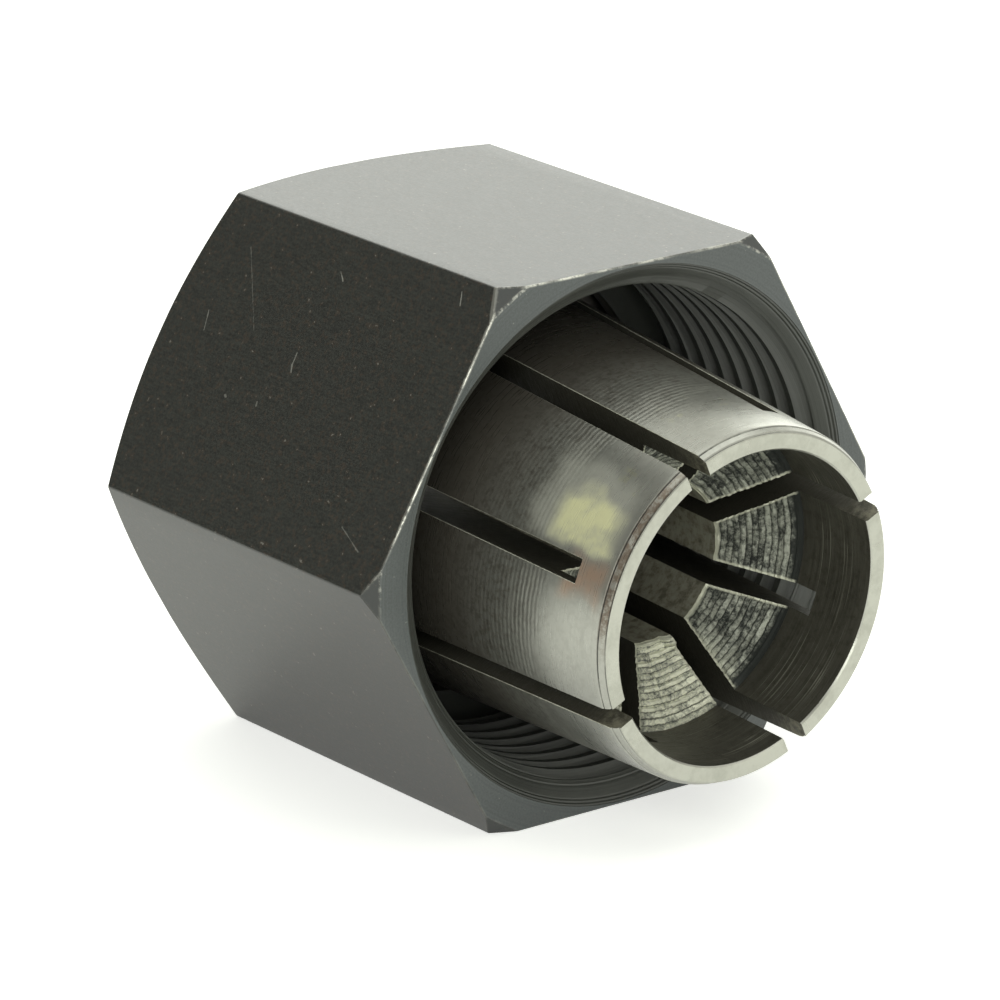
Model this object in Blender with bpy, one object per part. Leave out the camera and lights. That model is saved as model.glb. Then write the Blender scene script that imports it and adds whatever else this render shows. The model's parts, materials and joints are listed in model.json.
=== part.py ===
"""Router collet: a split spring collet kept loose in its hexagonal clamping nut by a snap ring.

The nut lies on one of its flats, with its axis along X and its threaded mouth towards +X.
The origin is the middle of the flat that it lies on. The collet is captive but loose, so its
nose hangs a little below the nut's axis and a little to one side, turning about its snap ring.
"""

import math

import bmesh
import bpy
from mathutils import Matrix, Vector

MM = 0.001
RIGHT_ANGLE = math.pi / 2

# Hexagonal nut, in millimetres. Radii are set from the flats inwards, and depths run from
# the mouth face towards the back.
ACROSS_FLATS = 27.0
MOUTH_CORNER_CUT = 0.69
MOUTH_CHAMFER_DEG = 45.0
BACK_CHAMFER_INSET = 0.1
BACK_CHAMFER_DEG = 30.0
MOUTH_LIP = 0.15
COUNTERSINK_DEG = 45.0
THREAD_WALL = 0.8
THREAD_HEIGHT = 0.65
RELIEF_CLEARANCE = 0.1
RELIEF_LENGTH = 1.5
HEAD_SHOULDER = 1.05
RING_LAND = 0.9
RING_DEPTH = 14.0
BACK_LAND = 1.4
EXIT_BREAK = 0.4

# Snap ring, a flat spring ring with a gap
RING_THICKNESS = 1.2
RING_WIDTH = 1.8
RING_GAP_DEG = 34.0
RING_FLOAT = 0.5
RING_CLEARANCE = 0.1
RING_ROOM = 0.2
RING_GRIP = 0.6
RING_SPRING_ROOM = 1.4

# Collet, measured along its own axis
SHANK_D = 8.0
SHANK_CLEARANCE = 0.1
NOSE_PROTRUSION = 8.25
NOSE_WALL = 1.07
NOSE_EDGE_LENGTH = 0.5
NOSE_EDGE_HEIGHT = 0.25
TAPER_DEG = 3.5
COUNTERBORE_DEPTH = 4.8
DRILL_POINT_DEG = 119.0
FLANGE_STEP = 0.35
HEAD_CLEARANCE = 0.45
FLANGE_THICKNESS = 1.4
CLOSING_CONE_DEG = 45.0
CONE_RISE = 2.95
NECK_LENGTH = 1.2
NECK_CLEARANCE = 0.35
SHANK_ENTRY = 0.5

# Saw cuts: four from the nose, and four from the back halfway between them
SLOTS_PER_END = 4
SLOT_WIDTH = 1.2
FIRST_SLOT_DEG = 26.35
NOSE_BRIDGE = 2.5
BACK_BRIDGE = 4.1

# How the loose collet hangs in the nut
DROOP_DEG = 3.6
YAW_DEG = 1.0
HANG_CLEARANCE = 0.3

# Roundness of the turned surfaces, how far the cutters run past what they cut, and the
# distance, in metres, at which the points of a turned mesh are one point
TURNED_SEGMENTS = 96
SHARP_EDGE_DEG = 25.0
CUTTER_OVERRUN = 2.0
MERGE_DISTANCE = 1e-7

# Colours and roughness
BLACK_OXIDE = ((0.045, 0.045, 0.042), 0.42)
SPRING_STEEL = ((0.20, 0.19, 0.18), 0.35)
BARE_STEEL = ((0.56, 0.55, 0.52), 0.28)

# Sizes that follow from the ones above
HEX_SIDES = 6
AXIS_HEIGHT = ACROSS_FLATS / 2
CORNER_R = AXIS_HEIGHT / math.cos(math.pi / HEX_SIDES)
MOUTH_CHAMFER_R = CORNER_R - MOUTH_CORNER_CUT
BACK_CHAMFER_R = AXIS_HEIGHT - BACK_CHAMFER_INSET
LIP_R = AXIS_HEIGHT - MOUTH_LIP
THREAD_MAJOR_R = AXIS_HEIGHT - THREAD_WALL
THREAD_MINOR_R = THREAD_MAJOR_R - THREAD_HEIGHT
RELIEF_R = THREAD_MAJOR_R + RELIEF_CLEARANCE
HEAD_BORE_R = THREAD_MINOR_R - HEAD_SHOULDER

RING_OUTER_R = HEAD_BORE_R + RING_GRIP
RING_INNER_R = RING_OUTER_R - RING_WIDTH
GROOVE_R_NUT = RING_OUTER_R + RING_ROOM
GROOVE_FLOOR_R = RING_INNER_R - RING_SPRING_ROOM
GROOVE_WIDTH_NUT = RING_THICKNESS + 2 * (RING_FLOAT + RING_CLEARANCE)
RELIEF_END_DEPTH = RING_DEPTH - GROOVE_WIDTH_NUT / 2 - RING_LAND
THREAD_END_DEPTH = RELIEF_END_DEPTH - RELIEF_LENGTH

# The collet's flange runs in the head bore, and its taper is set down from the flange
TILT = math.acos(math.cos(math.radians(DROOP_DEG)) * math.cos(math.radians(YAW_DEG)))
TAPER_SLOPE = math.tan(math.radians(TAPER_DEG))
CONE_SLOPE = math.tan(math.radians(CLOSING_CONE_DEG))
NOSE_REACH = (RING_DEPTH + NOSE_PROTRUSION) / math.cos(TILT)
FLANGE_R = HEAD_BORE_R - HEAD_CLEARANCE
BIG_END_R = FLANGE_R - FLANGE_STEP
NOSE_R = BIG_END_R - TAPER_SLOPE * (NOSE_REACH - NOSE_EDGE_LENGTH)
COUNTERBORE_R = NOSE_R - NOSE_WALL
BORE_R = (SHANK_D + SHANK_CLEARANCE) / 2
NECK_R = FLANGE_R - CONE_RISE

# The collet's groove leaves room for the ring and for the swing of the hanging collet
GROOVE_WIDTH_COLLET = RING_THICKNESS + 2 * (HANG_CLEARANCE + FLANGE_R * math.tan(TILT))
TAPER_END_R = BIG_END_R - TAPER_SLOPE * GROOVE_WIDTH_COLLET / 2
FLANGE_FRONT = -GROOVE_WIDTH_COLLET / 2
FLANGE_BACK = FLANGE_FRONT - FLANGE_THICKNESS
CONE_BACK = FLANGE_BACK - (FLANGE_R - NECK_R) / CONE_SLOPE
COLLET_BACK = CONE_BACK - NECK_LENGTH

# Behind the closing cone there is room for the float and for the same swing
SEAT_GAP = RING_FLOAT + FLANGE_R * math.sin(TILT) + HANG_CLEARANCE
EXIT_R = NECK_R + NECK_CLEARANCE - COLLET_BACK * math.sin(TILT)
SEAT_START_DEPTH = RING_DEPTH - FLANGE_BACK + SEAT_GAP - (HEAD_BORE_R - FLANGE_R) / CONE_SLOPE
SEAT_END_DEPTH = SEAT_START_DEPTH + (HEAD_BORE_R - EXIT_R) / CONE_SLOPE
NUT_LENGTH = SEAT_END_DEPTH + BACK_LAND
MOUTH_X = NUT_LENGTH / 2
BACK_X = -NUT_LENGTH / 2
RING_X = MOUTH_X - RING_DEPTH


def clear_scene():
    """Remove every object and the meshes and materials that they leave."""
    for obj in list(bpy.data.objects):
        bpy.data.objects.remove(obj, do_unlink=True)
    for mesh in list(bpy.data.meshes):
        bpy.data.meshes.remove(mesh)
    for material in list(bpy.data.materials):
        bpy.data.materials.remove(material)


def metal(name, color, roughness):
    """A Principled BSDF for a bare or blackened steel."""
    material = bpy.data.materials.new(name)
    material.use_nodes = True
    shader = material.node_tree.nodes["Principled BSDF"]
    shader.inputs["Base Color"].default_value = (*color, 1.0)
    shader.inputs["Metallic"].default_value = 1.0
    shader.inputs["Roughness"].default_value = roughness
    return material


def mesh_object(name, bm, material=None):
    """Put a bmesh in a new object of the scene, its faces pointing outwards."""
    bmesh.ops.recalc_face_normals(bm, faces=bm.faces)
    mesh = bpy.data.meshes.new(name)
    bm.to_mesh(mesh)
    bm.free()
    obj = bpy.data.objects.new(name, mesh)
    bpy.context.scene.collection.objects.link(obj)
    if material is not None:
        mesh.materials.append(material)
    return obj


def shade_turned(obj):
    """Shade smooth, with the turned corners kept sharp."""
    obj.data.shade_smooth()
    obj.data.set_sharp_from_angle(angle=math.radians(SHARP_EDGE_DEG))


def turned_bmesh(profile, closed):
    """Spin a profile of (x, radius) points in millimetres a full turn about the X axis.

    A closed profile makes a ring-shaped solid. An open one starts and ends on the axis.
    """
    bm = bmesh.new()
    points = [bm.verts.new((x * MM, 0.0, radius * MM)) for x, radius in profile]
    edges = [bm.edges.new(pair) for pair in zip(points, points[1:])]
    if closed:
        edges.append(bm.edges.new((points[-1], points[0])))
    bmesh.ops.spin(
        bm,
        geom=points + edges,
        cent=(0.0, 0.0, 0.0),
        axis=(1.0, 0.0, 0.0),
        angle=2 * math.pi,
        steps=TURNED_SEGMENTS,
        use_merge=True,
    )
    bmesh.ops.remove_doubles(bm, verts=bm.verts, dist=MERGE_DISTANCE)
    return bm


def box_into(bm, low, high, turn):
    """Add a box between two corners, in millimetres, turned by a matrix, to a bmesh."""
    size = Vector(high) - Vector(low)
    middle = (Vector(high) + Vector(low)) / 2
    placed = turn @ Matrix.Translation(middle * MM) @ Matrix.Diagonal((*(size * MM), 1.0))
    bmesh.ops.create_cube(bm, size=1.0, matrix=placed)


def cut(target, cutter, operation):
    """Give an object a Boolean with a cutter that stays in the scene as a guide."""
    cutter.hide_render = True
    cutter.display_type = "WIRE"
    modifier = target.modifiers.new(cutter.name, "BOOLEAN")
    modifier.operation = operation
    modifier.solver = "EXACT"
    modifier.object = cutter


def chamfered_blank():
    """The bar that the nut is turned from: its ends carry the chamfers of the corners."""
    reach = CORNER_R + CUTTER_OVERRUN
    mouth_run = (reach - MOUTH_CHAMFER_R) * math.tan(math.radians(MOUTH_CHAMFER_DEG))
    back_run = (reach - BACK_CHAMFER_R) * math.tan(math.radians(BACK_CHAMFER_DEG))
    profile = [
        (MOUTH_X, 0.0),
        (MOUTH_X, MOUTH_CHAMFER_R),
        (MOUTH_X - mouth_run, reach),
        (BACK_X + back_run, reach),
        (BACK_X, BACK_CHAMFER_R),
        (BACK_X, 0.0),
    ]
    return turned_bmesh(profile, closed=False)


def nut_bore():
    """What is bored out of the nut: countersink, thread, relief, head bore, groove and seat.

    The thread itself is finer than this model: its bore is left at the crests.
    """
    sink = math.tan(math.radians(COUNTERSINK_DEG))
    sink_depth = (LIP_R - THREAD_MINOR_R) / sink
    groove_front = RING_DEPTH - GROOVE_WIDTH_NUT / 2
    groove_back = RING_DEPTH + GROOVE_WIDTH_NUT / 2
    stations = [
        (-CUTTER_OVERRUN, 0.0),
        (-CUTTER_OVERRUN, LIP_R + CUTTER_OVERRUN * sink),
        (sink_depth, THREAD_MINOR_R),
        (THREAD_END_DEPTH, THREAD_MINOR_R),
        (THREAD_END_DEPTH, RELIEF_R),
        (RELIEF_END_DEPTH, RELIEF_R),
        (RELIEF_END_DEPTH, HEAD_BORE_R),
        (groove_front, HEAD_BORE_R),
        (groove_front, GROOVE_R_NUT),
        (groove_back, GROOVE_R_NUT),
        (groove_back, HEAD_BORE_R),
        (SEAT_START_DEPTH, HEAD_BORE_R),
        (SEAT_END_DEPTH, EXIT_R),
        (NUT_LENGTH - EXIT_BREAK, EXIT_R),
        (NUT_LENGTH + CUTTER_OVERRUN, EXIT_R + EXIT_BREAK + CUTTER_OVERRUN),
        (NUT_LENGTH + CUTTER_OVERRUN, 0.0),
    ]
    profile = [(MOUTH_X - depth, radius) for depth, radius in stations]
    return turned_bmesh(profile, closed=False)


def make_nut():
    """The hexagonal nut, blackened: six flats, chamfered corners and the stepped bore."""
    bm = bmesh.new()
    along_x = Matrix.Rotation(RIGHT_ANGLE, 4, "Y")
    bmesh.ops.create_cone(
        bm,
        cap_ends=True,
        segments=HEX_SIDES,
        radius1=CORNER_R * MM,
        radius2=CORNER_R * MM,
        depth=NUT_LENGTH * MM,
        matrix=along_x,
    )
    nut = mesh_object("collet_nut", bm, metal("black_oxide", *BLACK_OXIDE))
    on_axis = Matrix.Translation((0.0, 0.0, AXIS_HEIGHT * MM))
    nut.matrix_world = on_axis
    for name, shape, operation in (
        ("guide_chamfers", chamfered_blank(), "INTERSECT"),
        ("guide_nut_bore", nut_bore(), "DIFFERENCE"),
    ):
        guide = mesh_object(name, shape)
        guide.matrix_world = on_axis
        cut(nut, guide, operation)
    return nut


def make_ring():
    """The snap ring: a flat spring ring with its gap at the top."""
    half_thickness = RING_THICKNESS / 2
    corners = [
        (-half_thickness, RING_INNER_R),
        (half_thickness, RING_INNER_R),
        (half_thickness, RING_OUTER_R),
        (-half_thickness, RING_OUTER_R),
    ]
    bm = bmesh.new()
    half_gap = math.radians(RING_GAP_DEG) / 2
    start = Matrix.Rotation(half_gap, 3, "X")
    section = [bm.verts.new(start @ Vector((x * MM, 0.0, radius * MM))) for x, radius in corners]
    first_face = bm.faces.new(section)
    bmesh.ops.spin(
        bm,
        geom=[first_face, *first_face.edges, *first_face.verts],
        cent=(0.0, 0.0, 0.0),
        axis=(1.0, 0.0, 0.0),
        angle=2 * (math.pi - half_gap),
        steps=TURNED_SEGMENTS - round(TURNED_SEGMENTS * RING_GAP_DEG / 360.0),
    )
    ring = mesh_object("retaining_ring", bm, metal("spring_steel", *SPRING_STEEL))
    shade_turned(ring)
    return ring


def collet_profile():
    """The collet's section, nose first: tapered outside, groove, flange, cone, neck and bore."""
    drill_slope = math.tan(math.radians(DRILL_POINT_DEG / 2))
    point_depth = COUNTERBORE_DEPTH + (COUNTERBORE_R - BORE_R) / drill_slope
    groove_front = GROOVE_WIDTH_COLLET / 2
    outside = [
        (NOSE_REACH, NOSE_R - NOSE_EDGE_HEIGHT),
        (NOSE_REACH - NOSE_EDGE_LENGTH, NOSE_R),
        (groove_front, TAPER_END_R),
        (groove_front, GROOVE_FLOOR_R),
        (FLANGE_FRONT, GROOVE_FLOOR_R),
        (FLANGE_FRONT, FLANGE_R),
        (FLANGE_BACK, FLANGE_R),
        (CONE_BACK, NECK_R),
        (COLLET_BACK, NECK_R),
    ]
    inside = [
        (COLLET_BACK, BORE_R + SHANK_ENTRY),
        (COLLET_BACK + SHANK_ENTRY, BORE_R),
        (NOSE_REACH - point_depth, BORE_R),
        (NOSE_REACH - COUNTERBORE_DEPTH, COUNTERBORE_R),
        (NOSE_REACH, COUNTERBORE_R),
    ]
    return outside + inside


def slot_cutters():
    """Eight saw cuts: one row opens at the nose and the other, halfway between, at the back."""
    bm = bmesh.new()
    pitch_deg = 360.0 / (2 * SLOTS_PER_END)
    inner = BORE_R - SLOT_WIDTH
    outer = FLANGE_R + CUTTER_OVERRUN
    nose_row = (COLLET_BACK + BACK_BRIDGE, NOSE_REACH + CUTTER_OVERRUN)
    back_row = (COLLET_BACK - CUTTER_OVERRUN, NOSE_REACH - NOSE_BRIDGE)
    for index in range(2 * SLOTS_PER_END):
        start, end = nose_row if index % 2 == 0 else back_row
        turn = Matrix.Rotation(math.radians(FIRST_SLOT_DEG - pitch_deg * index), 4, "X")
        box_into(bm, (start, -SLOT_WIDTH / 2, inner), (end, SLOT_WIDTH / 2, outer), turn)
    return bm


def make_collet():
    """The split spring collet, one piece of bare steel."""
    bm = turned_bmesh(collet_profile(), closed=True)
    lined_up = Matrix.Rotation(math.radians(FIRST_SLOT_DEG), 4, "X")
    bmesh.ops.transform(bm, matrix=lined_up, verts=bm.verts)
    collet = mesh_object("collet", bm, metal("bare_steel", *BARE_STEEL))
    shade_turned(collet)
    slots = mesh_object("guide_slots", slot_cutters())
    slots.parent = collet
    cut(collet, slots, "DIFFERENCE")
    return collet


def hang(collet, ring):
    """Seat the ring in its groove, and hang the collet on it, nose down."""
    ring_centre = Vector((RING_X, 0.0, AXIS_HEIGHT)) * MM
    ring.location = ring_centre
    collet.location = ring_centre
    collet.rotation_euler = (0.0, math.radians(DROOP_DEG), math.radians(YAW_DEG))


def main():
    clear_scene()
    make_nut()
    ring = make_ring()
    collet = make_collet()
    hang(collet, ring)


main()
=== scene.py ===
"""A router collet: a slotted spring collet held loose in its blackened clamping nut.

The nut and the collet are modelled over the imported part, with the thread, the turning
rings and the worn edges that its solids leave out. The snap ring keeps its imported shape.
"""

import json
import math
import random

import bmesh
import bpy
from bpy.props import FloatProperty, FloatVectorProperty, IntProperty, PointerProperty
from mathutils import Matrix, Vector, noise


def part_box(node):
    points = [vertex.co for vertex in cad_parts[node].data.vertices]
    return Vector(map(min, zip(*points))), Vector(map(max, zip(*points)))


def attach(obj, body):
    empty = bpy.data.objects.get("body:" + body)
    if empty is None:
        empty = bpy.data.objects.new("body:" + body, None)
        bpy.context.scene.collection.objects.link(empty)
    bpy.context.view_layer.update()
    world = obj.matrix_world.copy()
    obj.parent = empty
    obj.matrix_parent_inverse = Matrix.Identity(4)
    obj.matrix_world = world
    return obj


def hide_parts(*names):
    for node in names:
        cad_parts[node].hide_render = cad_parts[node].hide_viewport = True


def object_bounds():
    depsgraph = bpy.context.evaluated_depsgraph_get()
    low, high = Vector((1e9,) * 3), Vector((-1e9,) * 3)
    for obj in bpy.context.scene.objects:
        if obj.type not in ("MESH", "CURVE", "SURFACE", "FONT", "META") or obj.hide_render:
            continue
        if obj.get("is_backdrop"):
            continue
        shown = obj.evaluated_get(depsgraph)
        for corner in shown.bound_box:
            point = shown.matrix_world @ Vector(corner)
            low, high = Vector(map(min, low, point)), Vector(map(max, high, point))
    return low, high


bl_info = {
    "name": "Router Collet",
    "version": (1, 0, 0),
    "blender": (4, 5, 0),
    "location": "3D View > Sidebar > Router Collet",
    "description": "A slotted spring collet in its blackened clamping nut",
    "category": "Add Mesh",
}

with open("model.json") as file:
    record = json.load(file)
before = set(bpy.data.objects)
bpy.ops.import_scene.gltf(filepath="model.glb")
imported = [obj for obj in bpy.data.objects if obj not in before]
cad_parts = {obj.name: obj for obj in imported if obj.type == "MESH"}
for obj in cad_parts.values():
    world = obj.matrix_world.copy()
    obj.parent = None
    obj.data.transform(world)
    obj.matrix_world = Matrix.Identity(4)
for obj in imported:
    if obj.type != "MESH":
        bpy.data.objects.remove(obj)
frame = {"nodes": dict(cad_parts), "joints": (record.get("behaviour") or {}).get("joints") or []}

MM = 0.001
HEX_SIDES = 6
SLOTS_PER_END = 4
OVERRUN = 2.0
MERGE_DISTANCE = 1e-7

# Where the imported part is, in millimetres
NUT_LOW, NUT_HIGH = (Vector(corner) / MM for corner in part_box("collet_nut"))
MOUTH_X = NUT_HIGH.x
BACK_X = NUT_LOW.x
AXIS_HEIGHT = (NUT_LOW.z + NUT_HIGH.z) / 2
SPIN = next(joint for joint in frame["joints"] if joint["name"] == "collet_spin")
PIVOT = Vector(SPIN["pos_m"]) / MM
COLLET_AXIS = Vector(SPIN["axis"]).normalized()
COLLET_DROOP = -math.asin(COLLET_AXIS.z)
COLLET_YAW = math.atan2(COLLET_AXIS.y, COLLET_AXIS.x)
HANG = (
    Matrix.Translation(PIVOT)
    @ Matrix.Rotation(COLLET_YAW, 4, "Z")
    @ Matrix.Rotation(COLLET_DROOP, 4, "Y")
)
NUT_PLACE = Matrix.Translation((0.0, 0.0, AXIS_HEIGHT))

# The nut as its solid has it, in millimetres: depths behind the mouth, and radii
THREAD_END = 10.4
RELIEF_END = 11.9
RELIEF_STEP = 0.1
HEAD_BORE_R = 11.0
NUT_GROOVE_START = 12.8
NUT_GROOVE_END = 15.2
NUT_GROOVE_R = 11.8
SEAT_START = 18.026
SEAT_END = 20.611
EXIT_R = 8.415
EXIT_CHAMFER = 0.4
BACK_EDGE = 0.1
BACK_CHAMFER_SLOPE = math.tan(math.radians(30.0))

# The countersink's turning rings: share of a ring, and the least and most relief
SINK_RELIEF = ((0.35, 0.018, 0.052), (0.65, 0.0, -0.01))

# The helical cutter of the thread, in millimetres
HELIX_START = 11.6
HELIX_TURNS = 11
RUN_OUT = 10.3
RUN_IN = 0.5
CREST_OVERLAP = 0.15
ROOT_EASE = 0.06

# The collet along its own axis, in millimetres from the middle of its snap ring
TAPER_SLOPE = math.tan(math.radians(3.5))
NOSE_REACH = 22.297388
NOSE_R = 8.866815
NOSE_EDGE_LENGTH = 0.5
NOSE_EDGE_HEIGHT = 0.25
GROOVE_HALF = 1.588919
GROOVE_FLOOR_R = 8.4
FLANGE_R = 10.55
FLANGE_BACK = -2.988919
CONE_BACK = -5.938919
COLLET_BACK = -7.138919
NECK_R = 7.6
BORE_R = 4.05
DRILL_SLOPE = math.tan(math.radians(59.5))
FIRST_SLOT = math.radians(26.35)
NOSE_BRIDGE = 2.5
BACK_BRIDGE = 4.1
SAW_END_SLOPE = 0.85
SAW_INSET = 1.2
NOSE_BREAK = 0.08
BORE_CHAMFER = 0.5
FEED = 0.27

# The drilled cone, in millimetres: a little more than its depth, its rings' relief like the
# countersink's, its burrs, its chatter (height and fineness) and one torn lump
CONE_ROOM = 2.6
CONE_RINGS = 14
CONE_RELIEF = ((0.12, -0.03, -0.02), (0.35, 0.0, 0.045), (0.80, 0.0, 0.04))
BURR_HEIGHT = 0.06
BURR_SCALE = 2.5
CHATTER = ((0.05, 1.8), (0.03, 6.0))
TORN_CORNER = (1.28, -4.10)
LUMP_HEIGHT = 0.40
LUMP_REACH = 0.48
LUMP_FLANK = 0.30
# The turn of the lowest cone segment, which gets a painted highlight
LOWEST_SEGMENT = math.radians(184.0)

# How finely the turned shapes are divided, and which corners stay crisp
BLANK_STEPS = 288
BORE_STEPS = 256
THREAD_STEPS = 192
COLLET_STEPS = 320
NUT_CRISP_DEG = 28.0
COLLET_CRISP_DEG = 16.0

# The collet's turned finishes, in the order of its material slots
TURNED, DRILLED, COUNTERBORE, BORE = range(4)


def length(name, description, default_mm):
    """A size that is shown in the sidebar as a length."""
    return FloatProperty(
        name=name,
        description=description,
        default=default_mm * MM,
        min=0.0,
        unit="LENGTH",
        subtype="DISTANCE",
        precision=5,
    )


def colour(name, description, default):
    """A colour that is shown in the sidebar."""
    return FloatVectorProperty(
        name=name,
        description=description,
        default=default,
        min=0.0,
        max=1.0,
        size=3,
        subtype="COLOR",
    )


def power(name, description, default):
    """The power of a light."""
    return FloatProperty(
        name=name, description=description, default=default, min=0.0, unit="POWER"
    )


class ClampingNutSizes(bpy.types.PropertyGroup):
    """Sizes and colours of the hexagonal clamping nut."""

    flats: length("Across flats", "Width of the hexagon over two flats", 2 * AXIS_HEIGHT)
    corner_cut: length("Corner cut", "How far the mouth chamfer takes down the corners", 0.69)
    edge_round: length("Edge round", "Rounding of the hexagon's edges", 0.09)
    lip: length("Mouth lip", "Width of the mouth face at the middle of a flat", 0.15)
    thread_root: length("Thread root radius", "Radius at the root of the thread", 12.7)
    thread_crest: length("Thread crest radius", "Radius at the crest of the thread", 12.05)
    pitch: length("Thread pitch", "Distance from one crest to the next", 1.27)
    sink_rings: IntProperty(
        name="Countersink rings",
        description="How many turning rings the countersink shows",
        default=10,
        min=1,
        max=30,
    )
    oxide: colour("Black oxide", "Colour of the blackened flats", (0.017, 0.018, 0.0145))
    blue: colour("Blue oxide", "Colour of the turned mouth", (0.052, 0.060, 0.060))
    bore: colour("Bore", "Colour of the oiled bore and thread", (0.046, 0.049, 0.043))
    worn: colour("Worn steel", "Colour of the steel along the worn edges", (0.62, 0.61, 0.55))

    @property
    def flat(self):
        """The distance from the axis to a flat, in millimetres."""
        return self.flats / MM / 2

    @property
    def corner(self):
        """The distance from the axis to a sharp corner, in millimetres."""
        return self.flat / math.cos(math.pi / HEX_SIDES)

    @property
    def mouth_radius(self):
        """The radius of the corners' chamfer at the mouth, in millimetres."""
        return self.corner - self.corner_cut / MM


class ColletSizes(bpy.types.PropertyGroup):
    """Sizes and colours of the slotted spring collet."""

    slot_width: length("Slot width", "Width of the eight saw cuts", 1.2)
    nose_wall: length("Nose wall", "Thickness of the wall at the nose", 1.07)
    bore_depth: length("Counterbore depth", "How deep the wide part of the bore goes", 4.8)
    edge_break: length("Edge break", "Chamfer along the saw cuts", 0.045)
    burr: length("Burr", "Width of the burr that the saw left on the drilled cone", 0.21)
    steel: colour("Bare steel", "Colour of the polished nose", (0.43, 0.43, 0.39))
    # Painted shade: the colour the taper is drawn in deep inside the nut
    painted_shade_deep: colour("Painted shade deep in the nut", "Colour deep in the nut", (0.17, 0.155, 0.13))
    # The straw colour is a real yellow temper stain, drawn lighter than it is as a painted
    # highlight
    straw_and_highlight: colour("Straw stain and highlight", "Colour of the yellow temper stain", (0.60, 0.59, 0.35))
    rose: colour("Rose tint", "Colour of the pink temper stain", (0.44, 0.31, 0.23))
    sawn: colour("Sawn wall", "Colour of the walls of the saw cuts", (0.165, 0.155, 0.115))

    @property
    def counterbore(self):
        """The radius of the counterbore, in millimetres."""
        return NOSE_R - self.nose_wall / MM

    @property
    def half_slot(self):
        """Half the width of a saw cut, in millimetres."""
        return self.slot_width / MM / 2

    @property
    def cone_front(self):
        """Where the drilled cone meets the counterbore, in millimetres."""
        return NOSE_REACH - self.bore_depth / MM


class StudioSettings(bpy.types.PropertyGroup):
    """The floor and the light."""

    floor: colour("Floor", "Colour of the floor", (0.90, 0.91, 0.87))
    back_power: power("Backdrop light", "Power of the low soft light behind the nut", 1.25)
    key_power: power("Key light", "Power of the soft light beside the camera", 0.9)
    top_power: power("Top light", "Power of the soft light overhead", 2.6)


def spun(section, steps, turns=1, pitch=0.0, closed=False):
    """Spin a section of (x, radius) points, in millimetres, about the X axis."""
    bm = bmesh.new()
    points = [bm.verts.new((x, 0.0, radius)) for x, radius in section]
    edges = [bm.edges.new(pair) for pair in zip(points, points[1:])]
    if closed:
        edges.append(bm.edges.new((points[-1], points[0])))
    bmesh.ops.spin(
        bm,
        geom=points + edges,
        cent=(0.0, 0.0, 0.0),
        axis=(1.0, 0.0, 0.0),
        dvec=(pitch / steps, 0.0, 0.0),
        angle=2 * math.pi * turns,
        steps=steps * turns,
        use_merge=pitch == 0.0,
    )
    bmesh.ops.remove_doubles(bm, verts=bm.verts, dist=MERGE_DISTANCE / MM)
    return bm


def turned(profile, steps, closed=False, phase=0.0):
    """A solid turned from a profile of (x, radius) points."""
    bm = spun(profile, steps, closed=closed)
    bmesh.ops.transform(bm, matrix=Matrix.Rotation(phase, 4, "X"), verts=bm.verts)
    bmesh.ops.recalc_face_normals(bm, faces=bm.faces)
    return bm


def placed_object(name, bm, place, materials=()):
    """Put a bmesh in millimetres at its place, in metres, in an object at the origin."""
    bmesh.ops.transform(bm, matrix=Matrix.Scale(MM, 4) @ place, verts=bm.verts)
    mesh = bpy.data.meshes.new(name)
    bm.to_mesh(mesh)
    bm.free()
    obj = bpy.data.objects.new(name, mesh)
    bpy.context.scene.collection.objects.link(obj)
    for material in materials:
        mesh.materials.append(material)
    return obj


def cut(target, cutter, operation):
    """Apply an exact Boolean to an object and remove its cutter."""
    modifier = target.modifiers.new("cut", "BOOLEAN")
    modifier.operation = operation
    modifier.solver = "EXACT"
    modifier.material_mode = "TRANSFER"
    modifier.object = cutter
    bpy.context.view_layer.update()
    evaluated = target.evaluated_get(bpy.context.evaluated_depsgraph_get())
    mesh = bpy.data.meshes.new_from_object(evaluated)
    target.modifiers.clear()
    old = target.data
    target.data = mesh
    mesh.name = target.name
    bpy.data.meshes.remove(old)
    cutter_mesh = cutter.data
    bpy.data.objects.remove(cutter, do_unlink=True)
    bpy.data.meshes.remove(cutter_mesh)


def shade(obj, sharp_deg):
    """Shade smooth, with every corner sharper than an angle kept crisp."""
    obj.data.shade_smooth()
    obj.data.set_sharp_from_angle(angle=math.radians(sharp_deg))


def tinted(rgb, factor):
    """A colour made lighter or darker."""
    return tuple(channel * factor for channel in rgb)


def clamped(value):
    """A value kept between zero and one."""
    return min(max(value, 0.0), 1.0)


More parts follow.
